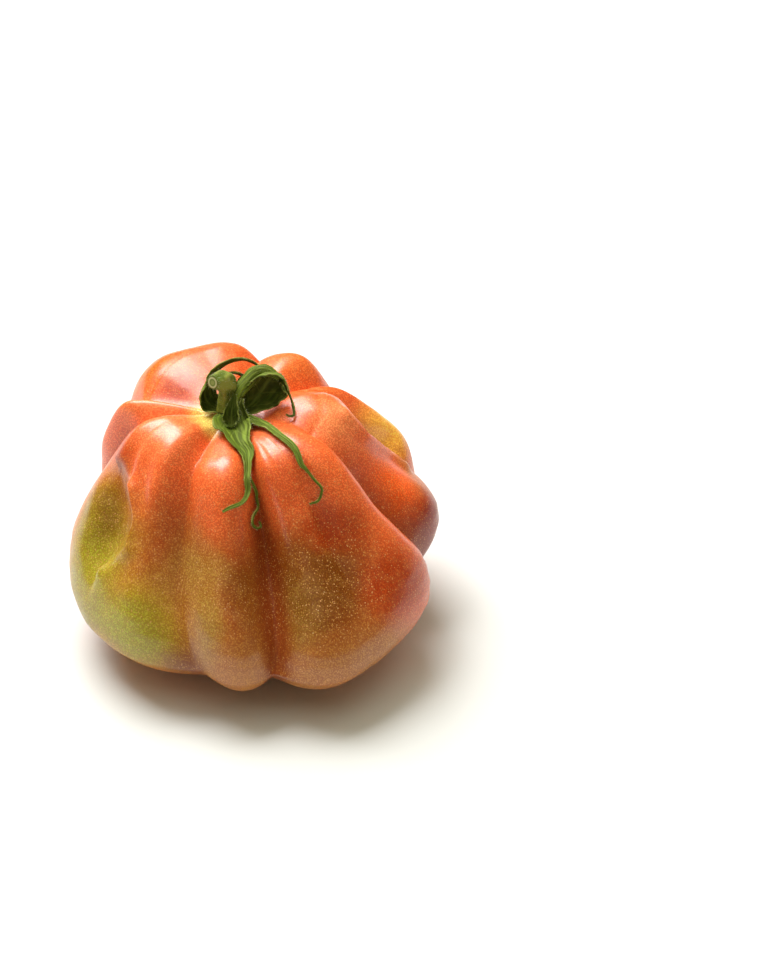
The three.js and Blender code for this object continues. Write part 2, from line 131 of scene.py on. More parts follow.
def profile(lobe, across, place):
    """Reach and height of the skin before it is folded."""
    *numbers, under = lobe_size(lobe, across)
    crest, flank, belly = numbers[0:2], numbers[2:4], numbers[4:6]
    slope = [0.5 * (low - high) for low, high in zip(belly, crest)]
    if place <= CREST:
        rise = max(0, crest[1] - SHOULDER)
        return bend((EYE_RADIUS, EYE.z), (9, rise), crest, (14, 0), place)
    if place <= FLANK:
        return bend(crest, (1.6 * (flank[0] - crest[0]), 0), flank, slope, 2 * (place - CREST))
    if place <= BELLY:
        return bend(flank, slope, belly, (0, 1.5 * (belly[1] - flank[1])), 2 * (place - FLANK))
    last = (1.2 * (SPOT_RADIUS - belly[0]), 0)
    return bend(belly, (0, -under * belly[1]), (SPOT_RADIUS, 0), last, place - BELLY)


def fold_depth(fold, place):
    return max(0, through((0, *FOLDS[fold][1], 0), place * 2))


def fold_bearing(fold, place):
    stage = min(max(2 * (place - CREST), 0), 2) if place < BELLY else place
    return through(FOLDS[fold][0], stage)


def wall(fold, side, away, place):
    """How much of a fold's depth is left on one of its walls, some share of a lobe away from it."""
    stage = min(max(2 * (place - CREST), 0), 2) if place < BELLY else place
    return (1 - away ** through(FOLDS[fold][3], stage)) ** FOLDS[fold][2][side]


def skin_point(lobe, across, place):
    """A point of the skin in millimetres: lobe number, how far across it, and place down it."""
    following = (lobe + 1) % len(LOBES)
    start = fold_bearing(lobe, place)
    end = fold_bearing(following, place) + (360 if following == 0 else 0)
    bearing = math.radians(start + (end - start) * across)
    reach, height = profile(lobe, across, place)
    r1, z1 = profile(lobe, across, max(0, place - 0.02))
    r2, z2 = profile(lobe, across, min(SPOT, place + 0.02))
    length = math.hypot(r2 - r1, z2 - z1)
    depth = fold_depth(lobe, place) * wall(lobe, 1, across, place)
    depth += fold_depth(following, place) * wall(following, 0, 1 - across, place)
    r = max(0.5, reach + depth * (z2 - z1) / length)
    z = max(0, height - depth * (r2 - r1) / length)
    aside = 1 - smooth(place, 0, BELLY)
    return Vector((r * math.cos(bearing) + EYE.x * aside, r * math.sin(bearing) + EYE.y * aside, z))


def skin_under(bearing, place):
    """The skin point at a bearing and a place."""
    first = fold_bearing(0, place)
    turned = first + (bearing - first) % 360
    for lobe in range(len(LOBES)):
        start = fold_bearing(lobe, place)
        end = fold_bearing((lobe + 1) % len(LOBES), place) + (360 if lobe == len(LOBES) - 1 else 0)
        if start <= turned <= end:
            return skin_point(lobe, (turned - start) / (end - start), place)


places = [CREST * i / RINGS_TO_CREST for i in range(RINGS_TO_CREST)]
places += [CREST + (BELLY - CREST) * i / RINGS_TO_BELLY for i in range(RINGS_TO_BELLY)]
places += [BELLY + (SPOT - BELLY) * i / RINGS_TO_SPOT for i in range(RINGS_TO_SPOT + 1)]
columns = len(LOBES) * COLUMNS_A_LOBE
bpy.ops.object.select_all(action="DESELECT")
bpy.ops.mesh.primitive_uv_sphere_add(segments=columns, ring_count=len(places) + 1, radius=1)
fruit = bpy.context.object
fruit.name = "fruit_skin"
# How deep in a fold each point lies, kept for the painted shade that darkens the skin down there.
crease = fruit.data.attributes.new("crease", "FLOAT", "POINT")
for vertex in fruit.data.vertices:
    column = round((math.atan2(vertex.co.y, vertex.co.x) / math.tau) * columns) % columns
    ring = round(math.acos(max(-1, min(1, vertex.co.z))) / math.pi * (len(places) + 1))
    if ring == 0:
        vertex.co = EYE * MM
    elif ring > len(places):
        vertex.co = (0, 0, 0)
    else:
        lobe, step = divmod(column, COLUMNS_A_LOBE)
        across = 0.5 - 0.5 * math.cos(math.pi * step / COLUMNS_A_LOBE)
        place = places[ring - 1]
        vertex.co = skin_point(lobe, across, place) * MM
        depth = fold_depth(lobe, place) * wall(lobe, 1, across, place)
        following = (lobe + 1) % len(LOBES)
        depth += fold_depth(following, place) * wall(following, 0, 1 - across, place)
        depth *= 1 + 0.6 * smooth(place, BELLY, BELLY + 0.5)
        crease.data[vertex.index].value = smooth(depth, 4, 9.5) * smooth(place, 1.0, 1.5)

# Dents and ridges that the fruit got while it grew: points along each, its width on the clockwise side and
# on the other, how far it lifts the skin, and how sharp it is, from 1, a keel, to 3, a soft swell.
DENTS = [
    ([(-37, -8, 53), (-36, -15, 48.5), (-36, -20, 43.5), (-40, -23, 37)], 5, 13, -2.6, 2),
    ([(-32.6, -9, 55.5), (-31.4, -14, 52.5), (-31, -21, 47.5), (-33, -26, 41.5), (-39, -28, 35)],
     5, 2.6, 1.9, 1.15),
    ([(20, 8, 68), (25, 4, 64), (31, 4, 57), (36.4, 10.7, 47), (42, 13, 42), (46, 15, 38)],
     4.5, 3.2, 1.8, 1.2),
    ([(27, 14, 58), (32, 15.5, 52), (38.3, 20.4, 44)], 6, 8, -1.8, 2),
]
fruit.data.update()
facing_out = [vertex.normal.copy() for vertex in fruit.data.vertices]
for points, near_side, far_side, lift, softness in DENTS:
    ends = [fruit.closest_point_on_mesh(Vector(point) * MM)[1] for point in points]
    middle = sum(ends, Vector()) / len(ends)
    span = max((end - middle).length for end in ends) + max(near_side, far_side) * MM
    for vertex, outward in zip(fruit.data.vertices, facing_out):
        if (vertex.co - middle).length > span:
            continue
        best = None
        for start, end in zip(ends, ends[1:]):
            ahead = end - start
            share = min(max((vertex.co - start).dot(ahead) / ahead.length_squared, 0), 1)
            gap = vertex.co - start - ahead * share
            if best is None or gap.length < best[0].length:
                best = (gap, ahead, ends.index(start) + share)
        gap, ahead, passed = best
        width = (near_side if gap.dot(ahead.cross(outward)) < 0 else far_side) * MM
        if gap.length < width:
            part = 1 - (gap.length / width) ** softness
            if lift > 0:
                part *= smooth(min(passed, len(ends) - 1 - passed), 0, 1)
            vertex.co += outward * lift * part * part * MM

# The skin is never quite even: low swellings a thumb wide, and finer ones between them. Lift in millimetres
# and how many there are to a metre.
SWELLINGS = [(0.35, 55), (0.12, 160)]
for vertex, outward in zip(fruit.data.vertices, facing_out):
    swell = sum(lift * noise.noise(vertex.co * often) for lift, often in SWELLINGS)
    room = smooth(vertex.co.z, 1 * MM, 6 * MM)
    vertex.co += outward * swell * room * MM

# Its own weight rounds the foot: the folds run out there, and no edge is left where the skin meets the
# ground. Below each height in millimetres the skin is smoothed so many times, all but the flat spot.
FOOT_PASSES = [(30, 12), (26, 12), (22, 14), (18, 18), (14, 30), (10, 20)]
FLAT = (SPOT_RADIUS + 1.5) * MM
for height, passes in FOOT_PASSES:
    bpy.ops.object.mode_set(mode="EDIT")
    bpy.ops.mesh.select_all(action="DESELECT")
    bpy.ops.object.mode_set(mode="OBJECT")
    for face in fruit.data.polygons:
        face.select = face.center.z < height * MM and face.center.length > FLAT
    bpy.ops.object.mode_set(mode="EDIT")
    bpy.ops.mesh.vertices_smooth(factor=0.5, repeat=passes)
    bpy.ops.object.mode_set(mode="OBJECT")
bpy.ops.object.shade_smooth()


def add(tree, kind, values=None, **settings):
    """A shader node with its settings, and with its inputs set or linked."""
    made = tree.nodes.new("ShaderNode" + kind)
    for key, value in settings.items():
        setattr(made, key, value)
    for key, value in (values or {}).items():
        if isinstance(value, bpy.types.NodeSocket):
            tree.links.new(value, made.inputs[key])
        else:
            made.inputs[key].default_value = value
    return made


def mixed(tree, share, first, second, way="MIX"):
    """One colour laid over another."""
    return add(tree, "Mix", {0: share, 6: first, 7: second}, data_type="RGBA", blend_type=way).outputs[2]


def ranged(tree, value, low, high, to_low=0.0, to_high=1.0):
    """A value spread softly from one range over another."""
    values = {0: value, 1: low, 2: high, 3: to_low, 4: to_high}
    return add(tree, "MapRange", values, interpolation_type="SMOOTHSTEP").outputs[0]


def times(tree, first, second, way="MULTIPLY"):
    return add(tree, "Math", {0: first, 1: second}, operation=way).outputs[0]


def finish_of(name):
    """A new material: its node tree, its shader and its object coordinates."""
    material = bpy.data.materials.new(name)
    material.use_nodes = True
    tree = material.node_tree
    return material, tree, tree.nodes["Principled BSDF"], add(tree, "TexCoord").outputs["Object"]


def effect(name, taken, given):
    """A new node group with named inputs and outputs."""
    tree = bpy.data.node_groups.new(name, "ShaderNodeTree")
    for title, kind in taken:
        tree.interface.new_socket(name=title, in_out="INPUT", socket_type="NodeSocket" + kind)
    for title, kind in given:
        tree.interface.new_socket(name=title, in_out="OUTPUT", socket_type="NodeSocket" + kind)
    return tree, tree.nodes.new("NodeGroupInput").outputs, tree.nodes.new("NodeGroupOutput").inputs


# A soft patch is one patch of another colour: mostly another ripeness, a few of them painted shade and
# painted highlight.
soft_patch, taken, given = effect(
    "soft_patch",
    [("Under", "Color"), ("Position", "Vector"), ("Middle", "Vector"), ("Reach", "Vector"),
     ("Tint", "Color"), ("Strength", "Float")],
    [("Colour", "Color")],
)
offset = add(soft_patch, "VectorMath", {0: taken["Position"], 1: taken["Middle"]}, operation="SUBTRACT")
offset = add(soft_patch, "VectorMath", {0: offset.outputs[0], 1: taken["Reach"]}, operation="DIVIDE")
distance = add(soft_patch, "VectorMath", {0: offset.outputs[0]}, operation="LENGTH").outputs["Value"]
share = times(soft_patch, ranged(soft_patch, distance, 0.25, 1.0, 1.0, 0.0), taken["Strength"])
soft_patch.links.new(mixed(soft_patch, share, taken["Under"], taken["Tint"]), given["Colour"])

# Flecks are the pale dots under a tomato's skin, each in a cell of its own, some cells empty.
flecks, taken, given = effect(
    "flecks",
    [("Position", "Vector"), ("Scale", "Float"), ("Size", "Float"), ("Filled", "Float")],
    [("Mask", "Float")],
)
cells = add(flecks, "TexVoronoi", {"Vector": taken["Position"], "Scale": taken["Scale"]})
lot = add(flecks, "SeparateColor", {0: cells.outputs["Color"]})
size = times(flecks, taken["Size"], ranged(flecks, lot.outputs[0], 0.0, 1.0, 0.5, 1.3))
dot = add(flecks, "Math", {0: cells.outputs["Distance"], 1: size}, operation="DIVIDE").outputs[0]
dot = ranged(flecks, dot, 0.5, 1.0, 1.0, 0.0)
filled = add(flecks, "Math", {0: lot.outputs[1], 1: taken["Filled"]}, operation="LESS_THAN").outputs[0]
flecks.links.new(times(flecks, dot, filled), given["Mask"])

RED = (0.70, 0.098, 0.020, 1)
CORAL = (0.82, 0.18, 0.055, 1)
ORANGE = (0.76, 0.14, 0.020, 1)
DEEP_RED = (0.26, 0.012, 0.001, 1)
RUST = (0.36, 0.032, 0.002, 1)
VIVID = (0.95, 0.105, 0.010, 1)
AMBER = (0.44, 0.10, 0.004, 1)
BROWN = (0.20, 0.048, 0.003, 1)
UMBER = (0.12, 0.030, 0.001, 1)
TAN = (0.40, 0.125, 0.022, 1)
STRAW = (0.92, 0.44, 0.06, 1)
OLIVE = (0.30, 0.140, 0.020, 1)
DARK_OLIVE = (0.22, 0.110, 0.004, 1)
GREEN = (0.28, 0.205, 0.010, 1)
LIME = (0.34, 0.275, 0.013, 1)
YELLOW = (0.70, 0.48, 0.10, 1)
# The painted shade deep in the folds.
PAINTED_FOLD_SHADE = (0.22, 0.030, 0.003, 1)
GRAIN = (1.45, 2.0, 2.2, 1)
# Patches of another ripeness, a few of painted shade and highlight: middle and reach of each in millimetres,
# its colour and its strength.
RIPENESS_AND_PAINTED_LIGHT = [
    ((4, -54, 18), (60, 32, 30), TAN, 0.95),
    ((12, -38, 38), (42, 26, 24), BROWN, 0.92),
    ((-24, -30, 44), (22, 20, 22), BROWN, 0.65),
    ((-30, 4, 66), (16, 14, 12), CORAL, 0.8),
    ((-20, -10, 66), (16, 14, 10), CORAL, 0.4),
    ((-21, 14, 65), (10, 8, 8), RUST, 0.8),
    ((-31, 29, 66), (18, 16, 16), AMBER, 0.9),
    ((-38, -4, 57), (13, 13, 12), RUST, 0.95),
    ((14, 26, 68), (20, 18, 14), ORANGE, 0.5),
    ((24, 2, 64), (12, 12, 10), CORAL, 0.95),
    # Partly the skin's own pale straw, partly painted highlight in the hollow right of the calyx.
    ((38, 22, 47), (17, 15, 14), STRAW, 0.95),
    ((48, 12, 39), (14, 16, 14), AMBER, 0.8),
    ((-42, -14, 42), (20, 24, 20), DARK_OLIVE, 0.95),
    ((-46, -24, 26), (26, 30, 30), GREEN, 0.95),
    # Painted shade inside the left dent.
    ((-40, -17, 45), (9, 15, 11), UMBER, 0.55),
    ((-30, -40, 24), (20, 18, 22), GREEN, 0.9),
    ((-35, -38, 22), (15, 16, 12), LIME, 0.6),
    ((-17, -34, 40), (12, 14, 20), OLIVE, 0.8),
    ((-19, -47, 14), (10, 12, 11), BROWN, 0.9),
    ((-11, -44, 28), (8, 14, 18), OLIVE, 0.9),
    ((-3, -40, 37), (7, 12, 12), BROWN, 0.7),
    ((-8, -34, 42), (6, 10, 12), OLIVE, 0.5),
    ((14, -40, 30), (9, 14, 14), OLIVE, 0.6),
    ((22, -38, 36), (18, 18, 16), UMBER, 0.6),
    ((22, -23, 46), (14, 14, 11), RUST, 0.8),
    ((36, -4, 42), (16, 16, 20), VIVID, 0.95),
    ((-1, -54, 16), (12, 14, 12), TAN, 0.6),
    ((34, -44, 18), (26, 22, 15), TAN, 0.95),
    ((40, -28, 32), (17, 18, 14), RUST, 0.9),
    ((10, -20, 60), (10, 10, 8), RUST, 0.3),
    # Painted shade on the right flank, standing for the shade of a second fruit beside it that is not in the
    # scene.
    ((50, 0, 28), (14, 22, 17), DEEP_RED, 1.0),
    ((0, 0, 0), (110, 110, 13), AMBER, 0.8),
    ((-12, 3, 64), (9, 9, 6), YELLOW, 0.95),
    ((4, 40, 40), (30, 20, 26), AMBER, 0.4),
]
material, tree, skin, position = finish_of("tomato_skin")
# The patches wander a little, so that none shows as an oval.
DRIFT = 12 * MM
drift = add(tree, "TexNoise", {"Vector": position, "Scale": 45.0, "Detail": 3.0})
drift = add(tree, "VectorMath", {0: drift.outputs["Color"], 1: (0.5, 0.5, 0.5)}, operation="SUBTRACT")
drift = add(tree, "VectorMath", {0: drift.outputs[0], "Scale": DRIFT}, operation="SCALE")
drifted = add(tree, "VectorMath", {0: position, 1: drift.outputs[0]}).outputs[0]
colour = add(tree, "RGB").outputs[0]
colour.default_value = RED
for middle, reach, tint, strength in RIPENESS_AND_PAINTED_LIGHT:
    patch = tree.nodes.new("ShaderNodeGroup")
    patch.node_tree = soft_patch
    for title, value in (
        ("Middle", Vector(middle) * MM), ("Reach", Vector(reach) * MM),
        ("Tint", tint), ("Strength", strength),
    ):
        patch.inputs[title].default_value = value
    tree.links.new(drifted, patch.inputs["Position"])
    tree.links.new(colour, patch.inputs["Under"])
    colour = patch.outputs["Colour"]
mottle = add(tree, "TexNoise", {"Vector": position, "Scale": 320.0, "Detail": 4.0}).outputs[0]
colour = mixed(tree, ranged(tree, mottle, 0.45, 0.75, 0.0, 0.06), colour, STRAW)
# Painted shade: the skin is darkened deep in the folds.
fold = add(tree, "Attribute", attribute_name="crease").outputs["Fac"]
colour = mixed(tree, times(tree, fold, 0.85), colour, PAINTED_FOLD_SHADE)
grain = add(tree, "TexNoise", {"Vector": position, "Scale": 2400.0, "Detail": 2.0}).outputs[0]
colour = mixed(tree, ranged(tree, grain, 0.46, 0.62, 0.0, 0.85), colour, GRAIN, "MULTIPLY")
# Flecks are everywhere, and thickest on the right of the front.
freckled = tree.nodes.new("ShaderNodeGroup")
freckled.node_tree = soft_patch
for title, value in (
    ("Middle", Vector((20, -32, 38)) * MM), ("Reach", Vector((26, 26, 26)) * MM),
    ("Under", (0.7, 0.7, 0.7, 1)), ("Tint", (1, 1, 1, 1)), ("Strength", 1.0),
):
    freckled.inputs[title].default_value = value
tree.links.new(position, freckled.inputs["Position"])
freckled = add(tree, "SeparateColor", {0: freckled.outputs["Colour"]}).outputs[0]
# How many to a metre, how large in their cells, the share of cells filled, colour and strength: pale dots,
# fine ones between them, a few large ones, and rare dark specks.
FLECKS = [
    (1100.0, 0.22, 0.9, (0.84, 0.44, 0.17, 1), 0.7),
    (1800.0, 0.30, 0.9, (0.76, 0.38, 0.10, 1), 0.7),
    (640.0, 0.11, 0.5, (0.92, 0.62, 0.30, 1), 0.6),
    (90.0, 0.025, 0.3, (0.16, 0.06, 0.03, 1), 0.8),
]
for scale, size, filled, shade, strength in FLECKS:
    dots = tree.nodes.new("ShaderNodeGroup")
    dots.node_tree = flecks
    for title, value in (("Scale", scale), ("Size", size), ("Filled", filled)):
        dots.inputs[title].default_value = value
    tree.links.new(position, dots.inputs["Position"])
    share = times(tree, times(tree, dots.outputs["Mask"], strength), freckled)
    colour = mixed(tree, share, colour, shade)
tree.links.new(colour, skin.inputs["Base Color"])
pores = add(tree, "TexNoise", {"Vector": position, "Scale": 900.0, "Detail": 3.0}).outputs[0]
relief = add(tree, "Bump", {"Strength": 0.12, "Distance": 0.25 * MM, "Height": pores}).outputs[0]
tree.links.new(relief, skin.inputs["Normal"])
wear = ranged(tree, mottle, 0.3, 0.7, 0.3, 0.42)
tree.links.new(wear, skin.inputs["Roughness"])
skin.inputs["Specular IOR Level"].default_value = 0.6
skin.inputs["Coat Weight"].default_value = 0.16
skin.inputs["Coat Roughness"].default_value = 0.14
skin.inputs["Subsurface Weight"].default_value = 0.1
skin.inputs["Subsurface Scale"].default_value = 4 * MM
skin.inputs["Subsurface Radius"].default_value = (1.0, 0.35, 0.15)
fruit.data.materials.append(material)
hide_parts("fruit")
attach(fruit, "root")

# The calyx: narrow leathery sepals, dried and curled, that grow together round the foot of the stalk. Each
# is a flat strip laid along its rib, rolled up to both sides, and given its thickness last.
LEAF_THICKNESS = 0.45
SPANS_ACROSS = 12
SPANS_A_STATION = 5


def on_skin(bearing, place, over):
    """A rib point over the skin, with the way the skin faces there."""
    along = skin_under(bearing + 4, place) - skin_under(bearing - 4, place)
    down = skin_under(bearing, place + 0.05) - skin_under(bearing, place - 0.05)
    outward = down.cross(along).normalized()
    return skin_under(bearing, place) + outward * over, outward


# For each sepal: its rib, half its width, how far it is rolled up in degrees, and the way its inside faces
# at each point of the rib, the last one or the skin's own way holding on from there.
SEPALS = {
    "front_sepal": (
        [(-6.2, 2.6, 65.5), (-6.2, 0, 65.4), (-4.4, -4.4, 65), (-3.2, -9, 64.4), (-1, -12.2, 63.3),
         (-0.7, -15.5, 62.3), (-0.6, -17.9, 61), (-0.7, -20.4, 59.8), (-0.5, -22.3, 57.2),
         (-2, -25.2, 55.7), (-5.2, -27.7, 55.8), (-7.1, -28.3, 54.9)],
        [2.5, 5.2, 5, 3.6, 2.5, 1.4, 1, 0.9, 0.75, 0.6, 0.5, 0.3],
        [10, 25, 45, 60, 60, 60, 40, 30, 20, 10, 10, 10],
        [(0, 0, 1), (0, -0.1, 1), (0, -0.3, 1), (0.1, -0.4, 1), (0, -0.6, 0.8), (0, -0.7, 0.7)],
    ),
    "front_tendril": (
        [(-0.5, -18.8, 60.6), on_skin(276, 1.22, 1.2), on_skin(278, 1.28, 1), on_skin(276, 1.32, 1.1),
         on_skin(272, 1.35, 1.1), on_skin(271.5, 1.385, 1.1), on_skin(273.5, 1.405, 1.4),
         on_skin(276, 1.4, 1.5), on_skin(275.5, 1.38, 1.2)],
        [0.4, 0.4, 0.35, 0.35, 0.35, 0.35, 0.3, 0.25, 0.15],
        [10],
        [(0, -0.5, 0.9)],
    ),
    "right_sepal": (
        [(-3.6, 2, 65.4), (-1, 0.6, 65.5), (1.5, -1.6, 65.6), (3.5, -3.5, 66), (5.4, -6.4, 66.8),
         (7.6, -9.8, 67.1), on_skin(311, 1.05, 1.2), on_skin(310.5, 1.1, 1.2), on_skin(309.5, 1.15, 1.2),
         on_skin(311, 1.19, 1), on_skin(312.5, 1.24, 1), on_skin(314, 1.28, 1), on_skin(313, 1.31, 1),
         on_skin(311, 1.335, 1), on_skin(308, 1.34, 1), on_skin(306, 1.34, 1)],
        [1.2, 1.4, 1.6, 1.4, 1.2, 1.1, 1, 0.9, 0.7, 0.45, 0.35, 0.35, 0.35, 0.35, 0.3, 0.2],
        [20, 30, 35, 40, 40, 40, 30, 20, 10, 10, 10, 10, 10, 10, 10, 10],
        [(0, 0, 1), (0, -0.2, 1), (0.2, -0.3, 1), (0.2, -0.4, 1), (0.2, -0.4, 1), (0.2, -0.5, 1)],
    ),
    "hood_sepal": (
        [(-4.2, 4.2, 65.4), (-0.9, 5.2, 66.6), (1.8, 7.2, 69.4), (3.8, 8.4, 72.2), (5.8, 8, 74.8),
         (7.9, 6.6, 75.6), (9.2, 4.8, 74.2), (10, 3.9, 71.8), (10.8, 3.2, 69.5), (11.3, 1.4, 68.2),
         (11.4, -0.4, 67.3),
         (10.2, -0.8, 67.2), (9.3, -0.2, 67.4)],
        [1.5, 3.8, 6.4, 7.4, 6.4, 3.4, 1.6, 0.9, 0.55, 0.4, 0.35, 0.3, 0.2],
        [20, 50, 65, 70, 70, 60, 30, 20, 10, 10, 10, 10, 10],
        [(0, 0, 1), (0.1, -0.6, 0.8), (0.2, -0.9, 0.3), (0.2, -0.9, 0), (0, -0.9, -0.3), (-0.3, -0.8, -0.5),
         (-0.7, -0.5, -0.3), (-0.9, -0.3, 0), (-0.9, -0.3, 0), (-0.6, -0.6, 0.6), (0, -0.6, 0.8)],
    ),
    "hood_margin": (
        [(-4.6, 1.4, 69.6), (-3.9, 3.2, 72), (-1.7, 5.4, 74.2), (0.6, 7, 76), (2.8, 7.2, 76.9),
         (5.2, 6.8, 76.4), (7.5, 6, 75)],
        [0.9, 1.8, 2.5, 2.6, 2.1, 1.5, 0.7],
        [50, 60, 70, 70, 70, 60, 40],
        [(0.2, 0.8, -0.5)],
    ),
    "left_back_sepal": (
        [(-6, 5, 65.4), (-9.6, 6.2, 65), (-12.4, 7, 66.2), (-13.3, 8, 68.8), (-12, 9, 72.2),
         (-10.8, 9.2, 74.8), (-8.8, 9.6, 76.8), (-5.8, 10.4, 78), (-2.6, 11.2, 78), (0.2, 11.6, 76.6),
         (2.4, 11.2, 75)],
        [1.6, 3.2, 4.2, 4, 2.6, 1.6, 1.2, 1.1, 0.9, 0.6, 0.3],
        [20, 50, 75, 75, 60, 30, 20, 20, 20, 10, 10],
        [(0, 0, 1), (0.2, -0.3, 1), (0.6, -0.8, 0.5), (0.7, -0.8, 0), (0.6, -0.8, -0.3), (0.3, -0.8, -0.4),
         (0.1, -0.8, -0.5), (0, -0.8, -0.5), (-0.3, -0.8, -0.5), (-0.4, -0.8, -0.5)],
    ),
    "back_sepal": (
        [(-4.6, 6, 65.4), (-3.9, 8.2, 67.6), (-3.6, 9, 70.4), (-2.8, 9.6, 73), (-0.4, 10.6, 74.2),
         (2.8, 12.2, 73), (5.6, 14.4, 70.2), (7.4, 16.8, 69.2)],
        [1.4, 1.6, 1.2, 1.2, 1.1, 1, 0.8, 0.3],
        [20, 30, 30, 30, 20, 20, 20, 10],
        [(0, 0, 1), (0, -0.9, 0.4), (0, -1, 0), (0.3, -0.8, -0.5), (0, -0.5, -0.9), (-0.3, -0.4, -0.8)],
    ),
    "back_fold": (
        [(-2.6, 9.8, 73.4), (-3.8, 9.6, 74.4), (-5.4, 9.4, 74.8), (-7.2, 9.2, 74.6)],
        [0.7, 1, 1, 0.4],
        [20],
        [(0, -0.6, -0.7)],
    ),
    "centre_sepal": (
        [(-5.3, -4.3, 66.1), (-5.5, -2.6, 65.5), (-5.6, -1.1, 66.8), (-5.4, -0.4, 68.8), (-5, 0.4, 70.8),
         (-4.5, 1.6, 72.8)],
        [1.2, 2.6, 3.3, 2.9, 1.4, 0.4],
        [40, 80, 85, 80, 50, 10],
        [(0, -0.6, 0.8), (0, -0.6, 0.8), (0, -0.8, 0.6), (0, -0.9, 0.3), (0, -0.9, 0.2)],
    ),
    "centre_curl": (
        [(0.2, -3, 65.6), (-1, -1.6, 66.4), (-2, -0.4, 68.2), (-2.7, 0.4, 70.2), (-2.4, 1.2, 71.6)],
        [0.6, 0.8, 0.8, 0.7, 0.3],
        [20, 50, 60, 50, 20],
        [(-0.4, -0.7, 0.5)],
    ),
}

SHADED_INSIDE = (0.060, 0.092, 0.006, 1)
OUTSIDE = (0.19, 0.26, 0.022, 1)
LIT_INSIDE = (0.17, 0.25, 0.020, 1)
LIT_HALF = (0.27, 0.37, 0.05, 1)
DRY = (0.20, 0.21, 0.035, 1)
IN_GROOVES = (0.028, 0.040, 0.004, 1)
ON_VEINS = (0.22, 0.28, 0.05, 1)
RIM = (0.36, 0.40, 0.10, 1)
material, tree, leaf, position = finish_of("calyx_leaf")
across = add(tree, "Attribute", attribute_name="across").outputs["Fac"]
along = add(tree, "Attribute", attribute_name="along").outputs["Fac"]
face = add(tree, "Attribute", attribute_name="outside").outputs["Fac"]
mottle = add(tree, "TexNoise", {"Vector": position, "Scale": 420.0, "Detail": 5.0}).outputs[0]
lying = add(tree, "Attribute", attribute_name="lying").outputs["Fac"]
# Painted light and shade: a sepal's inside is painted dark where it curls up away from the light and lighter
# where it lies on the skin facing up, and one half of a lying sepal lighter still.
inner = mixed(tree, lying, SHADED_INSIDE, LIT_INSIDE)
colour = mixed(tree, face, inner, OUTSIDE)
colour = mixed(tree, ranged(tree, mottle, 0.35, 0.7, 0.0, 0.45), colour, DRY)
lit_half = ranged(tree, across, -0.35, 0.1, 0.6, 0.0)
colour = mixed(tree, times(tree, lit_half, lying), colour, LIT_HALF)
grooves = add(tree, "CombineXYZ", {0: times(tree, across, 5), 1: times(tree, along, 0.6)}).outputs[0]
grooves = add(tree, "TexNoise", {"Vector": grooves, "Scale": 1.0, "Detail": 3.0}).outputs[0]
colour = mixed(tree, ranged(tree, grooves, 0.42, 0.62, 0.65, 0.0), colour, IN_GROOVES)
from_rib = add(tree, "Math", {0: across}, operation="ABSOLUTE").outputs[0]
branch = times(tree, times(tree, from_rib, 1.3), along, "SUBTRACT")
branch = add(tree, "Math", {0: times(tree, branch, 5.5)}, operation="SINE").outputs[0]
branch = ranged(tree, branch, 0.86, 1.0)
midrib = ranged(tree, from_rib, 0.04, 0.13, 1.0, 0.0)
veins = add(tree, "Math", {0: times(tree, branch, 0.6), 1: midrib}, operation="MAXIMUM").outputs[0]
colour = mixed(tree, times(tree, veins, 0.3), colour, ON_VEINS)
edge = ranged(tree, from_rib, 0.88, 1.0)
colour = mixed(tree, times(tree, edge, ranged(tree, mottle, 0.4, 0.65, 0.0, 0.7)), colour, RIM)
tree.links.new(colour, leaf.inputs["Base Color"])
leaf.inputs["Roughness"].default_value = 0.6
leaf.inputs["Specular IOR Level"].default_value = 0.15
height = times(tree, times(tree, mottle, 0.7), times(tree, veins, -0.4), "ADD")
height = times(tree, height, grooves, "ADD")
relief = add(tree, "Bump", {"Strength": 0.8, "Distance": 0.4 * MM, "Height": height}).outputs[0]
tree.links.new(relief, leaf.inputs["Normal"])
leaf_material = material

ON_THE_SKIN = ("front_sepal", "front_tendril", "right_sepal")
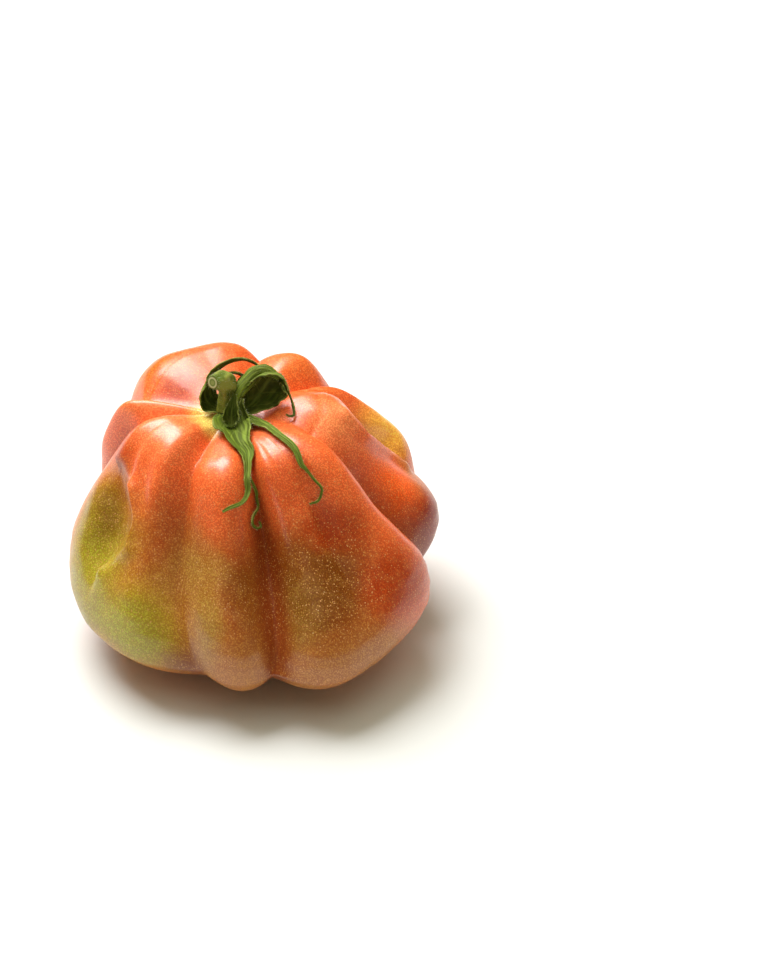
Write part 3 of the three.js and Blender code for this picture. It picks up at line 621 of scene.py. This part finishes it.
# Where the down will stand: a root, the way out and a length in millimetres.
hair_roots = []
for name, (rib, half, curl, facing) in SEPALS.items():
    middles = [Vector(station[0] if isinstance(station[0], Vector) else station) for station in rib]
    ups = [
        station[1] if isinstance(station[0], Vector) else Vector(facing[min(i, len(facing) - 1)]).normalized()
        for i, station in enumerate(rib)
    ]
    length = (len(rib) - 1) * SPANS_A_STATION
    bpy.ops.object.select_all(action="DESELECT")
    bpy.ops.mesh.primitive_grid_add(x_subdivisions=SPANS_ACROSS, y_subdivisions=length, size=2)
    sepal = bpy.context.object
    sepal.name = name
    layers = sepal.data.attributes
    for title in ("across", "along", "lying", "outside"):
        layers.new(title, "FLOAT", "POINT")
    layers.new("faced", "FLOAT_VECTOR", "POINT")
    across, along, lying, faced = [layers[title].data for title in ("across", "along", "lying", "faced")]
    for vertex in sepal.data.vertices:
        side_share, place = vertex.co.x, (vertex.co.y + 1) / 2 * (len(rib) - 1)
        ahead = (
            through(middles, min(place + 0.1, len(rib) - 1)) - through(middles, max(place - 0.1, 0))
        ).normalized()
        up = through(ups, place)
        up = (up - ahead * up.dot(ahead)).normalized()
        side = ahead.cross(up)
        turn = math.radians(max(5, through(curl, place))) * side_share
        width = max(0.12, through(half, place))
        wander = Vector((place * 1.7, side_share, len(name) * 3.1))
        width *= 1 + 0.10 * noise.noise(wander * 1.3)
        radius = width / math.radians(max(5, through(curl, place)))
        point = through(middles, place) + side * radius * math.sin(turn) + up * radius * (1 - math.cos(turn))
        outward = up * math.cos(turn) - side * math.sin(turn)
        groove = 0.12 * math.exp(-((side_share / 0.12) ** 2)) * min(1, width)
        ripple = 0.22 * width * abs(side_share) ** 3 * noise.noise(wander * 2.1) - groove
        vertex.co = (point + outward * ripple) * MM
        across[vertex.index].value = side_share
        along[vertex.index].value = place
        faced[vertex.index].vector = outward
        lying[vertex.index].value = name in ON_THE_SKIN
        if abs(side_share) > 0.999:
            hair_roots.append((Vector(vertex.co), side * (1 if side_share > 0 else -1) + outward * 0.3, 0.8))
        elif side_share * SPANS_ACROSS % 3 < 1.01:
            hair_roots.append((Vector(vertex.co) - outward * 0.25 * MM, -outward, 0.5))
    for kind, settings in (
        ("SOLIDIFY", {"thickness": LEAF_THICKNESS * MM, "offset": 0}),
        ("SUBSURF", {"levels": 1, "render_levels": 1}),
    ):
        modifier = sepal.modifiers.new(kind.lower(), kind)
        for key, value in settings.items():
            setattr(modifier, key, value)
        bpy.ops.object.modifier_apply(modifier=modifier.name)
    outside, faced = [sepal.data.attributes[title].data for title in ("outside", "faced")]
    for vertex in sepal.data.vertices:
        outside[vertex.index].value = smooth(-vertex.normal.dot(faced[vertex.index].vector), -0.5, 0.5)
    bpy.ops.object.shade_smooth()
    sepal.data.materials.append(leaf_material)
    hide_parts("calyx")
    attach(sepal, "root")

# The knob: the low green seat that the sepals and the stalk grow from, leathery like them. It is a short
# round block with its top drawn up to a smaller face and its edges rounded.
KNOB_RADIUS = 4.2 * MM
KNOB_AT = (-5.5 * MM, 4 * MM, 64.8 * MM)
bpy.ops.object.select_all(action="DESELECT")
bpy.ops.mesh.primitive_cylinder_add(vertices=24, radius=KNOB_RADIUS, depth=1 * MM, location=KNOB_AT)
knob = bpy.context.object
knob.name = "calyx_knob"
bpy.ops.object.transform_apply(location=True, rotation=False, scale=False)
bpy.ops.object.mode_set(mode="EDIT")
bpy.ops.mesh.select_all(action="DESELECT")
bpy.ops.object.mode_set(mode="OBJECT")
for polygon in knob.data.polygons:
    polygon.select = polygon.normal.z > 0.9
bpy.ops.object.mode_set(mode="EDIT")
bpy.ops.mesh.inset(thickness=1.4 * MM, depth=0.9 * MM)
bpy.ops.object.mode_set(mode="OBJECT")
modifier = knob.modifiers.new("round", "BEVEL")
modifier.width = 0.4 * MM
modifier.segments = 3
bpy.ops.object.modifier_apply(modifier="round")
bpy.ops.object.shade_smooth()
knob.data.materials.append(leaf_material)
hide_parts("calyx")
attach(knob, "root")

# The stalk: a short woody green stem with a swollen knuckle, where the fruit was cut from the plant. A disc
# is drawn up ring by ring, then laid along a bent line and ribbed, and its cut end sinks to a paler core.
STALK_LINE = [
    (-7.4, 4.4, 66.3), (-7.2, 4.8, 69), (-6.8, 5.2, 71.6), (-6.8, 4.8, 74), (-7.8, 3.4, 75.9),
    (-9.2, 1.6, 76.9), (-10.3, 0.2, 77.4),
]
STALK_RADIUS = [2.6, 2.3, 2.3, 2.8, 2.9, 2.4, 1.9]
STALK_SIDES, STALK_RINGS = 48, 48
START_RADIUS, RING_STEP = 2.6 * MM, 0.3 * MM
line = [Vector(point) for point in STALK_LINE]
bpy.ops.object.select_all(action="DESELECT")
bpy.ops.mesh.primitive_circle_add(vertices=STALK_SIDES, radius=START_RADIUS, fill_type="NGON")
stalk = bpy.context.object
stalk.name = "cut_stalk"
bpy.ops.object.mode_set(mode="EDIT")
bpy.ops.mesh.select_all(action="SELECT")
for ring in range(STALK_RINGS):
    bpy.ops.mesh.extrude_region_move(TRANSFORM_OT_translate={"value": (0, 0, RING_STEP)})
bpy.ops.mesh.inset(thickness=0.5 * MM)
bpy.ops.mesh.inset(thickness=0.5 * MM)
bpy.ops.object.mode_set(mode="OBJECT")
cut = stalk.data.attributes.new("cut", "FLOAT", "POINT")
for vertex in stalk.data.vertices:
    ring = round(vertex.co.z / RING_STEP)
    turn = math.atan2(vertex.co.y, vertex.co.x)
    share = math.hypot(vertex.co.x, vertex.co.y) / START_RADIUS
    place = ring / STALK_RINGS * (len(line) - 1)
    ahead = (through(line, min(place + 0.1, len(line) - 1)) - through(line, max(place - 0.1, 0))).normalized()
    if ring == 0:
        ahead = Vector((0, 0, 1))
    side = Vector((1, 0, 0))
    side = (side - ahead * side.dot(ahead)).normalized()
    other = ahead.cross(side)
    size = through(STALK_RADIUS, place)
    grain_at = Vector((math.cos(turn) * 2, math.sin(turn) * 2, place * 3))
    size *= 1 + 0.045 * math.cos(5 * turn + place) + 0.03 * noise.noise(grain_at)
    sunk = -0.25 if share < 0.5 else (0.0 if share > 0.9 else 0.12)
    point = through(line, place) + (side * math.cos(turn) + other * math.sin(turn)) * size * share
    if ring == STALK_RINGS:
        point += ahead * sunk
        cut.data[vertex.index].value = 1 - share if share < 0.95 else 0
    vertex.co = point * MM
    if share > 0.95 and ring % 3 == 0 and vertex.index % 2 == 0:
        hair_roots.append((Vector(vertex.co), side * math.cos(turn) + other * math.sin(turn), 0.9))
bpy.ops.object.shade_smooth_by_angle(angle=math.radians(50))
BARK = (0.27, 0.29, 0.05, 1)
FURROW = (0.10, 0.14, 0.012, 1)
CORE = (0.24, 0.27, 0.07, 1)
# The rings round the core of the cut end: where each begins and is full, in millimetres, and its colour.
CUT_RINGS = [
    (0.5, 0.8, (0.13, 0.17, 0.03, 1)), (0.9, 1.25, (0.48, 0.46, 0.22, 1)), (1.35, 1.7, (0.10, 0.12, 0.02, 1)),
]
material, tree, stem, position = finish_of("stalk_bark")
cut = add(tree, "Attribute", attribute_name="cut").outputs["Fac"]
grain = add(tree, "TexNoise", {"Vector": position, "Scale": 350.0, "Detail": 5.0}).outputs[0]
colour = mixed(tree, ranged(tree, grain, 0.35, 0.65), FURROW, BARK)
from_core = add(tree, "VectorMath", {0: position, 1: line[-1] * MM}, operation="DISTANCE")
from_core = from_core.outputs["Value"]
wood = CORE
for inner, outer, tint in CUT_RINGS:
    wood = mixed(tree, ranged(tree, from_core, inner * MM, outer * MM), wood, tint)
colour = mixed(tree, ranged(tree, cut, 0.02, 0.08), colour, wood)
tree.links.new(colour, stem.inputs["Base Color"])
stem.inputs["Roughness"].default_value = 0.65
stem.inputs["Specular IOR Level"].default_value = 0.2
relief = add(tree, "Bump", {"Strength": 0.5, "Distance": 0.3 * MM, "Height": grain}).outputs[0]
tree.links.new(relief, stem.inputs["Normal"])
stalk.data.materials.append(material)
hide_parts("stalk")
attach(stalk, "root")

# The down: short pale hairs that grow on the rims of the sepals and on the stalk. Each is a sliver of three
# sides that runs to a point, and strays a little from straight out.
HAIR_RADIUS = 0.035 * MM
SHARE_GROWN = 0.5
random.seed(7)
corners, faces = [], []
for root, outward, length in hair_roots:
    if random.random() > SHARE_GROWN:
        continue
    stray = Vector((random.uniform(-1, 1), random.uniform(-1, 1), random.uniform(-1, 1)))
    way = (outward.normalized() + stray * 0.5).normalized()
    side = way.orthogonal().normalized()
    other = way.cross(side)
    first = len(corners)
    for k in range(3):
        turn = math.tau * k / 3
        corners.append(root + (side * math.cos(turn) + other * math.sin(turn)) * HAIR_RADIUS)
    corners.append(root + way * length * random.uniform(0.5, 1.2) * MM)
    faces += [(first, first + 1, first + 3), (first + 1, first + 2, first + 3),
              (first + 2, first, first + 3), (first + 2, first + 1, first)]
mesh = bpy.data.meshes.new("calyx_down")
mesh.from_pydata(corners, [], faces)
down = bpy.data.objects.new("calyx_down", mesh)
bpy.context.collection.objects.link(down)
material, tree, hair, position = finish_of("pale_down")
shade = add(tree, "TexNoise", {"Vector": position, "Scale": 200.0}).outputs[0]
tree.links.new(mixed(tree, shade, (0.30, 0.34, 0.16, 1), (0.62, 0.64, 0.42, 1)), hair.inputs["Base Color"])
hair.inputs["Roughness"].default_value = 0.5
mesh.materials.append(material)
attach(down, "root")

# The studio: a matt white floor that runs out of sight, a square soft box above, behind and to the left, the
# light that a ceiling throws back, and a dim warm room all round.
FLOOR = (0.645, 0.655, 0.640, 1)
bpy.ops.object.select_all(action="DESELECT")
bpy.ops.mesh.primitive_plane_add(size=8)
floor = bpy.context.object
floor.name = "studio_floor"
material, tree, paper, position = finish_of("white_paper")
paper.inputs["Base Color"].default_value = FLOOR
paper.inputs["Roughness"].default_value = 0.9
floor.data.materials.append(material)
LIGHT_FROM = Vector((-0.30, 0.42, 0.88))
bpy.ops.object.light_add(type="AREA", location=LIGHT_FROM.normalized() * 1.6)
key = bpy.context.object
key.name = "soft_box"
key.rotation_euler = LIGHT_FROM.to_track_quat("Z", "Y").to_euler()
key.data.shape = "SQUARE"
key.data.size = 1.15
key.data.energy = 47
key.data.color = (0.98, 0.98, 1.0)
bpy.ops.object.light_add(type="AREA", location=(0, 0, 2))
fill = bpy.context.object
fill.name = "ceiling_bounce"
fill.data.shape = "SQUARE"
fill.data.size = 3
fill.data.energy = 27
fill.data.color = (1.0, 0.93, 0.80)
fill.visible_glossy = False
world = bpy.data.worlds.new("studio")
world.use_nodes = True
world.node_tree.nodes["Background"].inputs[0].default_value = (0.94, 0.92, 0.58, 1)
world.node_tree.nodes["Background"].inputs[1].default_value = 0.25
world.cycles_visibility.glossy = False
bpy.context.scene.world = world
bpy.context.scene.view_settings.view_transform = "Standard"
